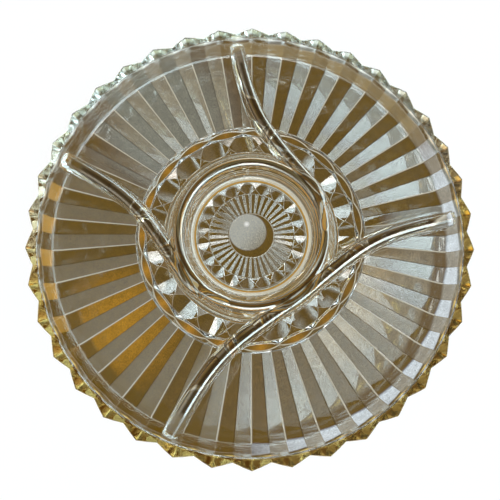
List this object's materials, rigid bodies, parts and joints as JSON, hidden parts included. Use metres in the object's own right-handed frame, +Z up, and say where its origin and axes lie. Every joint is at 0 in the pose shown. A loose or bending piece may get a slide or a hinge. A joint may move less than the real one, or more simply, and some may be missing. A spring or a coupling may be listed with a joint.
{
  "type": "serving dish",
  "caption": "Round divided serving dish of pressed clear glass: curved dividers part the floor round a centre well, with flutes and diamonds pressed underneath and a pointed rim.",
  "frame": {"origin": "on the dish's axis, in the plane of the resting face under the foot ring", "axes": "+Z up along the dish's axis, +Y through the middle of the narrow section, +X to the right of it"},
  "size_m": [0.3554, 0.3558, 0.028],
  "materials": {
    "pressed_glass": "fire-polished clear pressed glass, warm where the pressed underside gathers light"
  },
  "bodies": {
    "root": {"pointed_rim": "pressed_glass", "side_wall": "pressed_glass", "fluted_floor": "pressed_glass", "foot_ring": "pressed_glass", "diamond_band": "pressed_glass", "well_wall": "pressed_glass", "small_diamond_band": "pressed_glass", "ray_ring": "pressed_glass", "centre_button": "pressed_glass", "divider_back_right": "pressed_glass", "divider_back_left": "pressed_glass", "divider_front_right": "pressed_glass", "divider_front_left": "pressed_glass"}
  },
  "joints": []
}
